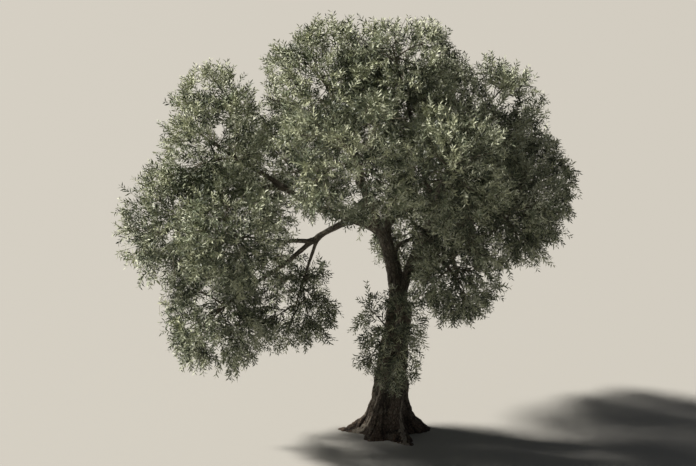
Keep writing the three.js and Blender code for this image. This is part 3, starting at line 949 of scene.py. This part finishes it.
def twiglets_of(space, parents, density):
    aims = even_aims(round(density * space.breadth), chance.uniform(0, FULL_TURN))
    tips = tips_of(space, aims)
    inner = chance.random(len(tips)) < INNER_SHARE
    deep = chance.uniform(*INNER_TWIGLETS, len(tips))
    shallow = chance.uniform(*SKIN_TWIGLETS, len(tips))
    tips = blend(space.centre, tips, np.where(inner, deep, shallow)[:, None])
    seats = points_on(parents, TWIGLET_SEATS).reshape(-1, 3)
    ways = ways_on(parents, TWIGLET_SEATS).reshape(-1, 3)
    run = tips[:, None] - seats
    length = np.linalg.norm(run, axis=-1)
    angle = np.arccos(np.clip((run * ways).sum(-1) / np.maximum(length, LEAST), -1, 1))
    cost = np.abs(angle - TWIGLET_SPREAD) + length / TWIGLET_REACH
    chosen = np.empty(len(tips), int)
    for number in range(len(tips)):
        chosen[number] = np.argmin(cost[number])
        cost[:, chosen[number]] += SEAT_SHARING
    roots, run = seats[chosen], tips - seats[chosen]
    length = np.linalg.norm(run, axis=1, keepdims=True)
    tips = roots + run * np.minimum(1, LONGEST_TWIGLET / length)
    first = unit(run) + TWIGLET_BEND * ways[chosen] + np.maximum(0, -TWIGLET_ARCH * lift_at(roots))
    bows = roots + 0.5 * np.minimum(length, LONGEST_TWIGLET) * unit(first)
    return np.stack([roots, bows, tips], axis=1)


def shoots_of(space, twiglets):
    roots = points_on(twiglets, SHOOT_SEATS)
    ways = ways_on(twiglets, SHOOT_SEATS)
    count = roots.shape[:2]
    turn = chance.uniform(0, FULL_TURN, (count[0], 1)) + np.arange(count[1]) * GOLDEN_ANGLE
    angle = np.where(SHOOT_SEATS < 1, SHOOT_ANGLE, 0)[:, None] * chance.uniform(*ANGLE_RANGE, (*count, 1))
    first = np.cos(angle) * ways + np.sin(angle) * turned_round(ways, SHOOT_HELPER, turn)
    outward = unit(roots - space.centre)
    last = unit(first + SHOOT_LIFT * lift_at(roots) + TIP_OUTWARD * outward)
    length = chance.uniform(*SHOOT_LENGTHS, (*count, 1))
    bows = roots + 0.5 * length * unit(first + BOW_OUTWARD * outward)
    tips = bows + 0.5 * length * last
    shoots = np.stack([roots, bows, tips], axis=2).reshape(-1, 3, 3)
    first_half = points_on(shoots, [FRINGE])[:, 0]
    keep = within(first_half, space) & in_reach(shoots[:, 2]) & ~near_limbs(shoots[:, 2], 0.0)
    return shoots[keep]


twiglets, shoots = {}, {}
for name, space in spaces.items():
    parents = np.concatenate([twigs[name], sprays[name]])
    twiglets[name] = twiglets_of(space, parents, TWIGLETS_A_METRE * VEIL.get(name, 1))
    shoots[name] = shoots_of(space, twiglets[name])
print(sum(map(len, twiglets.values())), "twiglets and", sum(map(len, shoots.values())), "shoots")

# %% [markdown]
# Thousands of small things are made straight from arrays: every leaf is the same four points, turned and
# scaled, and every twig the same rings. An olive's leaves stand in pairs, each pair a quarter turn on from
# the last, and the blade is a narrow lance shape with a keel along the midrib below. Each blade is rolled
# about its midrib by chance, so the crown glitters green and silver.

# %% Arrays of tubes and leaves
# Outline of a leaf: shares of its length and width, and height over the keel as a share of the length.
LEAF_POINTS = np.array([(0, 0, 0), (0.38, 0.5, 0.04), (1, 0, 0), (0.56, -0.5, 0.04)])
LEAF_UPPER = [(0, 3, 1), (1, 3, 2)]
LEAF_UNDER = [(0, 1, 2), (0, 2, 3)]
LEAF_FACES = LEAF_UPPER + LEAF_UNDER
PAIRS = 8
PAIR_SEATS = np.linspace(0.14, 1, PAIRS)
LEAF_LENGTHS = (0.08, 0.12)
LEAF_WIDTH = 0.26  # of its length
LEAF_ANGLES = (35, 65)
LEAF_ROLL = 75
LEAF_HELPER = (0.2, 0.3, 1.0)
PAIR_SCATTER = 0.25
YOUNGEST_LEAF = 0.6
GROWTH_CURVE = 0.7  # a leaf's length grows with its age to this power
MISSING_LEAVES = 0.06
STEEP = 0.9  # tubes steeper than this are turned from +X, not +Z


def tubes(centres, radii, sides):
    """Points and triangles of closed tapering tubes: centres is (tubes, rings, 3), radii (tubes, rings)."""
    count, rings = radii.shape
    ways = tangents_along(centres)
    chords = unit(centres[:, -1] - centres[:, 0])
    helper = np.where(np.abs(chords[:, 2:]) < STEEP, (0.0, 0.0, 1.0), (1.0, 0.0, 0.0))
    side = unit(np.cross(chords, helper))[:, None]
    rights = unit(side - (ways * side).sum(-1, keepdims=True) * ways)
    ups = np.cross(ways, rights)
    angles = np.arange(sides)[:, None] * FULL_TURN / sides
    ring = np.cos(angles) * rights[:, :, None] + np.sin(angles) * ups[:, :, None]
    points = centres[:, :, None] + radii[:, :, None, None] * ring
    triangles = []
    for step in range(rings - 1):
        for first in range(sides):
            low, low_next = step * sides + first, step * sides + (first + 1) % sides
            triangles += [(low, low_next, low_next + sides), (low, low_next + sides, low + sides)]
    top = (rings - 1) * sides
    for corner in range(1, sides - 1):
        triangles += [(0, corner + 1, corner), (top, top + corner, top + corner + 1)]
    return repeated(points.reshape(count, -1, 3), triangles)


def repeated(points, triangles):
    """Copies of one small shape as a flat list of points and one of triangles."""
    starts = np.arange(len(points)) * points.shape[1]
    return points.reshape(-1, 3), (starts[:, None, None] + np.array(triangles)).reshape(-1, 3)


def mesh_of(name, parts):
    """One mesh from parts, each of which is its points, its triangles and the material of each triangle."""
    points, triangles, kinds = zip(*parts)
    starts = np.cumsum([0, *map(len, points[:-1])])
    points = np.concatenate(points).astype(np.float32)
    triangles = np.concatenate([rows + start for rows, start in zip(triangles, starts)]).astype(np.int32)
    mesh = bpy.data.meshes.new(name)
    mesh.vertices.add(len(points))
    mesh.vertices.foreach_set("co", points.ravel())
    mesh.loops.add(triangles.size)
    mesh.loops.foreach_set("vertex_index", triangles.ravel())
    mesh.polygons.add(len(triangles))
    mesh.polygons.foreach_set("loop_start", np.arange(0, triangles.size, 3, dtype=np.int32))
    mesh.polygons.foreach_set("material_index", np.concatenate(kinds).astype(np.int32))
    mesh.update(calc_edges=True)
    mesh.shade_flat()
    return mesh


def leaves_on(shoots, tints):
    """Pairs of leaves along shoots: points, triangles and materials."""
    centres = points_on(shoots, PAIR_SEATS)[:, :, None]
    ways = ways_on(shoots, PAIR_SEATS)[:, :, None]
    count = (len(shoots), PAIRS, 2)
    turn = chance.uniform(0, FULL_TURN, (count[0], 1, 1)) + np.arange(PAIRS)[:, None] * FULL_TURN / 4
    turn = turn + np.arange(2) * FULL_TURN / 2 + chance.normal(0, PAIR_SCATTER, count)
    radial = turned_round(ways, LEAF_HELPER, turn)
    angle = np.radians(chance.uniform(*LEAF_ANGLES, (*count, 1)))
    along = np.cos(angle) * ways + np.sin(angle) * radial
    face = np.sin(angle) * ways - np.cos(angle) * radial
    roll = np.radians(chance.normal(0, LEAF_ROLL, (*count, 1)))
    wide = np.cross(face, along)
    face, wide = np.cos(roll) * face + np.sin(roll) * wide, np.cos(roll) * wide - np.sin(roll) * face
    age = np.linspace(1, YOUNGEST_LEAF, PAIRS)[:, None, None] ** GROWTH_CURVE
    length = chance.uniform(*LEAF_LENGTHS, (*count, 1)) * age
    sizes = [length, length * LEAF_WIDTH, length]
    kept = chance.random(count) > MISSING_LEAVES
    points = centres[..., None, :]
    for size, direction, shares in zip(sizes, (along, wide, face), LEAF_POINTS.T):
        points = points + (size * direction)[..., None, :] * shares[:, None]
    points, triangles = repeated(points[kept], LEAF_FACES)
    upper = np.broadcast_to(tints[:, None, None], count)[kept]
    # the deep green leaves, mostly painted shade, get the darker underside with sparse scales
    under = len(upper_sides) + (upper == DEEP_GREEN)
    sides = np.stack([upper] * len(LEAF_UPPER) + [under] * len(LEAF_UNDER), axis=1)
    return points, triangles, sides.ravel()


print("leaves of up to", round(1000 * LEAF_LENGTHS[1]), "mm and", len(LEAF_FACES), "faces")

# %% [markdown]
# Each mass becomes two pieces, its wood and its leaves, so that it can still be told from its neighbours.
# The stem goes on where the bark mesh ends, at the same thickness. Shoots deep in the mass or in hollows
# and many low in the crown bear the deep green leaves with sparse scales below. Olives do grow darker
# leaves in shade, but here the colour is mostly painted shade, put where the crown's own shade would fall.
# The rest are dealt all four colours.

# %% Leaves and twigs of each mass
TINT_SHARES = (0.36, 0.26, 0.1, 0.28)
# Painted shade: these pick the shoots that get the darker leaves, deep inside a mass, in hollows and low
# down.
PAINTED_SHADE_INSIDE = 0.68
PAINTED_SHADE_HOLLOW = -0.08  # the clump noise below which a shoot stands in a hollow
PAINTED_SHADE_BY_HEIGHT = ((1.5, 5.0), (0.5, 0.0))  # the share of other shoots that stand in the shade, by height
STEM_OVERLAP = 0.02
STEM_RINGS = 12
STEM_SIDES = 8
# Each kind of branch: its curves, radii at root and tip, rings, sides and material.
BRANCHES = [
    (twigs, (TWIG_ROOT_RADIUS, 0.007), 6, 6, 0),
    (sprays, (0.0075, 0.004), 5, 5, 0),
    (twiglets, (0.0038, 0.0022), 4, 3, 0),
    (shoots, (0.0022, 0.0012), 3, 3, 1),
]


def branch_tubes(curves, radii, rings, sides, material):
    shares = np.linspace(0, 1, rings)
    thickness = np.broadcast_to(blend(*radii, shares), (len(curves), rings))
    points, triangles = tubes(points_on(curves, shares), thickness, sides)
    return points, triangles, np.full(len(triangles), material)


def stem_tube(limb):
    shares = np.linspace(limb.share_at(BARK_END_RADIUS) - STEM_OVERLAP, 1, STEM_RINGS)
    points, triangles = tubes(limb.line(shares)[None], limb.radius(shares)[None], STEM_SIDES)
    return points, triangles, np.zeros(len(triangles))


def place_piece(kind, name, parts, materials):
    mesh = mesh_of(kind + name, parts)
    for material in materials:
        mesh.materials.append(material)
    piece = in_scene(kind + name, mesh)
    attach(piece, "root")
    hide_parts("foliage_" + name)
    return len(mesh.polygons)


leaf_faces, twig_faces = [], []
for name, mine in shoots.items():
    tints = chance.choice(len(upper_sides), len(mine), p=TINT_SHARES)
    # painted shade: darker leaves on shoots low in the crown, deep in the mass and in hollows
    painted_shade_low = chance.random(len(mine)) < np.interp(mine[:, 2, 2], *PAINTED_SHADE_BY_HEIGHT)
    painted_shade_inside = spaces[name].share_out(mine[:, 2]) < PAINTED_SHADE_INSIDE
    tints[painted_shade_low | painted_shade_inside | (noise_at(mine[:, 2], CLUMP) < PAINTED_SHADE_HOLLOW)] = DEEP_GREEN
    wood = [stem_tube(limbs[name])] + [branch_tubes(grown[name], *sizes) for grown, *sizes in BRANCHES]
    twig_faces.append(place_piece("twigs_", name, wood, [twig_bark, shoot_bark]))
    leaf_faces.append(place_piece("leaves_", name, [leaves_on(mine, tints)], leaf_materials))
print("leaves:", sum(leaf_faces) // len(LEAF_FACES), "in pieces of up to", max(leaf_faces), "faces")
print("twigs:", sum(twig_faces), "faces")

# %% [markdown]
# The stage is a plain pale floor under an even sky, with one soft lamp for the low sun, on the left and
# somewhat behind the tree, as the lit edges of the crown and the dark front of the trunk show. The camera
# looks slightly down from the front, far enough away for hardly any perspective.

# %% Stage, light and camera
FLOOR_SIZE = 400
KEY_FROM = Vector((-0.79, 0.2, 0.58))
KEY_STRENGTH = 8.4
KEY_SOFTNESS = 7
SKY_STRENGTH = 0.09
CAMERA_ELEVATION = 17
CAMERA_DISTANCE = 29
PICTURE_ASPECT = 696 / 466
FRAME_MARGIN = 1.1
SENSOR = 36

shape = bmesh.new()
bmesh.ops.create_grid(shape, x_segments=1, y_segments=1, size=FLOOR_SIZE / 2)
floor_mesh = mesh_from(shape, "floor")
floor_mesh.materials.append(plain("matt_pale_floor", "#a8a6a2", 0.9, 1.5))
in_scene("floor", floor_mesh)

key = bpy.data.lights.new("key", "SUN")
key.energy = KEY_STRENGTH
key.angle = math.radians(KEY_SOFTNESS)
key.color = linear("#fffaf0")[:3]
in_scene("key", key).rotation_euler = KEY_FROM.to_track_quat("Z", "Y").to_euler()

world = bpy.data.worlds.new("studio")
world.use_nodes = True
sky = world.node_tree.nodes["Background"]
sky.inputs["Color"].default_value = linear("#dfe4ea")
sky.inputs["Strength"].default_value = SKY_STRENGTH
bpy.context.scene.world = world
bpy.context.scene.view_settings.view_transform = "Standard"

tilt = math.radians(CAMERA_ELEVATION)
back = Vector((0, -math.cos(tilt), math.sin(tilt)))
upward = Vector((0, math.sin(tilt), math.cos(tilt)))
seen = np.concatenate([surface, *(curves[:, 2] for curves in shoots.values())])
across, risen = seen[:, 0], seen @ np.array(upward)
middle = Vector(((across.min() + across.max()) / 2, 0, 0)) + upward * (risen.min() + risen.max()) / 2
tall = (risen.max() - risen.min()) * FRAME_MARGIN
camera_data = bpy.data.cameras.new("camera")
camera_data.sensor_width = SENSOR
camera_data.lens = SENSOR * CAMERA_DISTANCE / (tall * PICTURE_ASPECT)
camera_data.clip_end = FLOOR_SIZE
camera = in_scene("camera", camera_data)
camera.location = middle + back * CAMERA_DISTANCE
camera.rotation_euler = back.to_track_quat("Z", "Y").to_euler()
bpy.context.scene.camera = camera
print("camera:", round(camera_data.lens), "mm lens, picture", round(tall, 2), "m tall")
